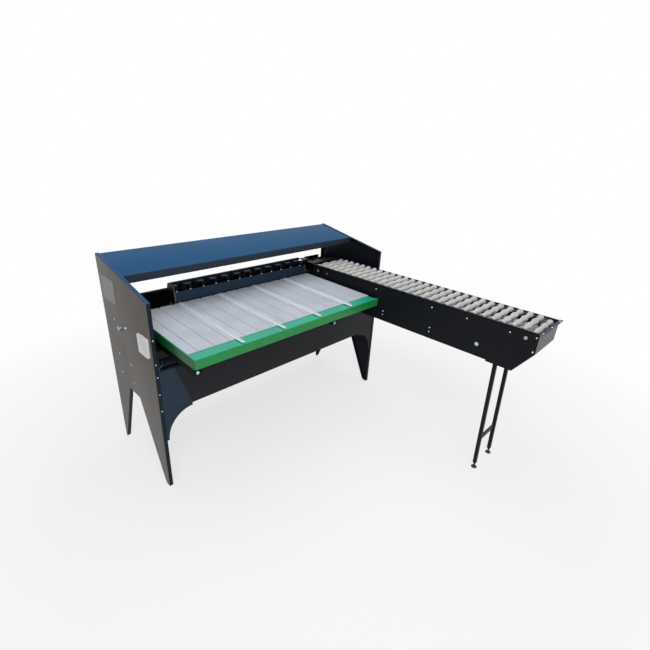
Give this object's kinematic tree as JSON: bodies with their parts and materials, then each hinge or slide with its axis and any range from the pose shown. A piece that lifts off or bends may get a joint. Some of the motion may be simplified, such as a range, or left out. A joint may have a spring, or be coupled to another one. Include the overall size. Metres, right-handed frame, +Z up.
{
  "type": "egg grading machine",
  "caption": "Egg grading machine: a roller conveyor feeds a row of tipping scales behind a sloping green tray with lanes for each weight grade.",
  "frame": {"origin": "middle of the machine's footprint, on the floor", "axes": "+Z up, +X along the row of scales towards the conveyor's side, -Y towards the operator and the conveyor's free end"},
  "size_m": [1.49, 1.548, 1],
  "materials": {
    "grey_paint": "semi-gloss warm grey",
    "navy_paint": "glossy navy blue",
    "black_paint": "semi-gloss black",
    "leg_paint": "satin black",
    "motor_paint": "satin grey",
    "label_metal": "brushed",
    "switch_plastic": "glossy white",
    "button_plastic": "glossy white",
    "tray_paint": "semi-gloss green",
    "lane_mat": "matt light grey, soft",
    "divider_plastic": "clear, whitish",
    "zinc_steel": "bright zinc",
    "works_paint": "satin black",
    "roller_plastic": "matt light grey"
  },
  "bodies": {
    "frame": {"left_side_panel": "grey_paint", "right_side_panel": "navy_paint", "top_shelf": "navy_paint", "front_left_gusset": "navy_paint", "front_right_gusset": "navy_paint", "scale_front_plate": "navy_paint", "scale_end_bracket_left": "navy_paint", "scale_end_bracket_right": "navy_paint", "rear_panel": "black_paint", "front_beam": "black_paint", "tray_cross_member": "black_paint", "scale_base_channel": "black_paint", "motor_bracket": "black_paint", "conveyor_wall_left": "black_paint", "conveyor_wall_right": "black_paint", "conveyor_end_plate": "black_paint", "conveyor_cross_brace_rear": "black_paint", "conveyor_cross_brace_front": "black_paint", "infeed_cradle": "black_paint", "conveyor_support_frame": "black_paint", "tray_arm_left": "black_paint", "tray_arm_right": "black_paint", "gear_motor": "motor_paint", "nameplate": "label_metal", "switch_box": "switch_plastic", "sorting_tray": "tray_paint", "sorting_mat": "lane_mat", "lane_divider_1": "divider_plastic", "lane_divider_2": "divider_plastic", "lane_divider_3": "divider_plastic", "lane_divider_4": "divider_plastic", "drive_chain": "zinc_steel", "left_shaft_bearing": "zinc_steel", "right_shaft_bearing": "zinc_steel", "conveyor_drive_chain": "zinc_steel", "scale_pivot_shaft": "works_paint", "conveyor_roller_chain": "roller_plastic"},
    "button": {"power_button": "button_plastic"},
    "lever_01": {"weigh_lever_01": "works_paint"},
    "lever_02": {"weigh_lever_02": "works_paint"},
    "lever_03": {"weigh_lever_03": "works_paint"},
    "lever_04": {"weigh_lever_04": "works_paint"},
    "lever_05": {"weigh_lever_05": "works_paint"},
    "lever_06": {"weigh_lever_06": "works_paint"},
    "lever_07": {"weigh_lever_07": "works_paint"},
    "lever_08": {"weigh_lever_08": "works_paint"},
    "lever_09": {"weigh_lever_09": "works_paint"},
    "lever_10": {"weigh_lever_10": "works_paint"},
    "lever_11": {"weigh_lever_11": "works_paint"},
    "lever_12": {"weigh_lever_12": "works_paint"},
    "lift": {"lift_rail": "works_paint"},
    "carriage": {"transfer_carriage": "navy_paint"},
    "rocker": {"lift_rocker": "black_paint"},
    "drive": {"main_shaft": "zinc_steel"},
    "motor_output": {"motor_sprocket": "zinc_steel"},
    "belt_drive": {"conveyor_drive_shaft": "zinc_steel"},
    "belt_idler": {"conveyor_idler_shaft": "zinc_steel"},
    "legs": {"leg_frame": "leg_paint"},
    "foot_left": {"levelling_foot_left": "zinc_steel"},
    "foot_right": {"levelling_foot_right": "zinc_steel"}
  },
  "joints": [
    {"name": "button_press", "type": "slide", "parent": "frame", "child": "button", "axis": [1, 0, 0], "range_m": [0, 0.0015], "stiffness_N_per_m": 500},
    {"name": "weigh_tip_01", "type": "hinge", "parent": "frame", "child": "lever_01", "pos_m": [-0.39745, 0.661, 0.765], "axis": [1, 0, 0], "range_deg": [0, 12]},
    {"name": "weigh_tip_02", "type": "hinge", "parent": "frame", "child": "lever_02", "pos_m": [-0.32375, 0.661, 0.765], "axis": [1, 0, 0], "range_deg": [0, 12]},
    {"name": "weigh_tip_03", "type": "hinge", "parent": "frame", "child": "lever_03", "pos_m": [-0.25005, 0.661, 0.765], "axis": [1, 0, 0], "range_deg": [0, 12]},
    {"name": "weigh_tip_04", "type": "hinge", "parent": "frame", "child": "lever_04", "pos_m": [-0.17635, 0.661, 0.765], "axis": [1, 0, 0], "range_deg": [0, 12]},
    {"name": "weigh_tip_05", "type": "hinge", "parent": "frame", "child": "lever_05", "pos_m": [-0.10265, 0.661, 0.765], "axis": [1, 0, 0], "range_deg": [0, 12]},
    {"name": "weigh_tip_06", "type": "hinge", "parent": "frame", "child": "lever_06", "pos_m": [-0.02895, 0.661, 0.765], "axis": [1, 0, 0], "range_deg": [0, 12]},
    {"name": "weigh_tip_07", "type": "hinge", "parent": "frame", "child": "lever_07", "pos_m": [0.04475, 0.661, 0.765], "axis": [1, 0, 0], "range_deg": [0, 12]},
    {"name": "weigh_tip_08", "type": "hinge", "parent": "frame", "child": "lever_08", "pos_m": [0.11845, 0.661, 0.765], "axis": [1, 0, 0], "range_deg": [0, 12]},
    {"name": "weigh_tip_09", "type": "hinge", "parent": "frame", "child": "lever_09", "pos_m": [0.19215, 0.661, 0.765], "axis": [1, 0, 0], "range_deg": [0, 12]},
    {"name": "weigh_tip_10", "type": "hinge", "parent": "frame", "child": "lever_10", "pos_m": [0.26585, 0.661, 0.765], "axis": [1, 0, 0], "range_deg": [0, 12]},
    {"name": "weigh_tip_11", "type": "hinge", "parent": "frame", "child": "lever_11", "pos_m": [0.33955, 0.661, 0.765], "axis": [1, 0, 0], "range_deg": [0, 12]},
    {"name": "weigh_tip_12", "type": "hinge", "parent": "frame", "child": "lever_12", "pos_m": [0.41325, 0.661, 0.765], "axis": [1, 0, 0], "range_deg": [0, 12]},
    {"name": "lift_slide", "type": "slide", "parent": "frame", "child": "lift", "axis": [0, 0, 1], "range_m": [-0.03, 0]},
    {"name": "carriage_slide", "type": "slide", "parent": "lift", "child": "carriage", "axis": [1, 0, 0], "range_m": [0, 0.2211]},
    {"name": "rocker_turn", "type": "hinge", "parent": "frame", "child": "rocker", "pos_m": [0, 0.653, 0.72], "axis": [1, 0, 0], "range_deg": [-30.52, 0]},
    {"name": "main_shaft_turn", "type": "hinge", "parent": "frame", "child": "drive", "pos_m": [0, 0.576, 0.703], "axis": [1, 0, 0], "continuous": true},
    {"name": "motor_turn", "type": "hinge", "parent": "frame", "child": "motor_output", "pos_m": [-0.689, 0.594, 0.493], "axis": [1, 0, 0], "continuous": true},
    {"name": "belt_drive_turn", "type": "hinge", "parent": "frame", "child": "belt_drive", "pos_m": [0.5607, 0.5288, 0.774], "axis": [1, 0, 0], "continuous": true},
    {"name": "belt_idler_turn", "type": "hinge", "parent": "frame", "child": "belt_idler", "pos_m": [0.5607, -0.70902, 0.774], "axis": [1, 0, 0], "continuous": true},
    {"name": "leg_fold", "type": "hinge", "parent": "frame", "child": "legs", "pos_m": [0.5607, -0.6045, 0.616], "axis": [1, 0, 0], "range_deg": [0, 90]},
    {"name": "foot_screw_left", "type": "slide", "parent": "legs", "child": "foot_left", "axis": [0, 0.0349, 0.9994], "range_m": [-0.01, 0.01]},
    {"name": "foot_screw_right", "type": "slide", "parent": "legs", "child": "foot_right", "axis": [0, 0.0349, 0.9994], "range_m": [-0.01, 0.01]}
  ],
  "couplings": [
    {"joint": "rocker_turn", "follows": "lift_slide", "rad_per_m": 17.75},
    {"joint": "motor_turn", "follows": "main_shaft_turn", "ratio": 1.5},
    {"joint": "belt_drive_turn", "follows": "main_shaft_turn", "ratio": 1},
    {"joint": "belt_idler_turn", "follows": "main_shaft_turn", "ratio": 1}
  ]
}
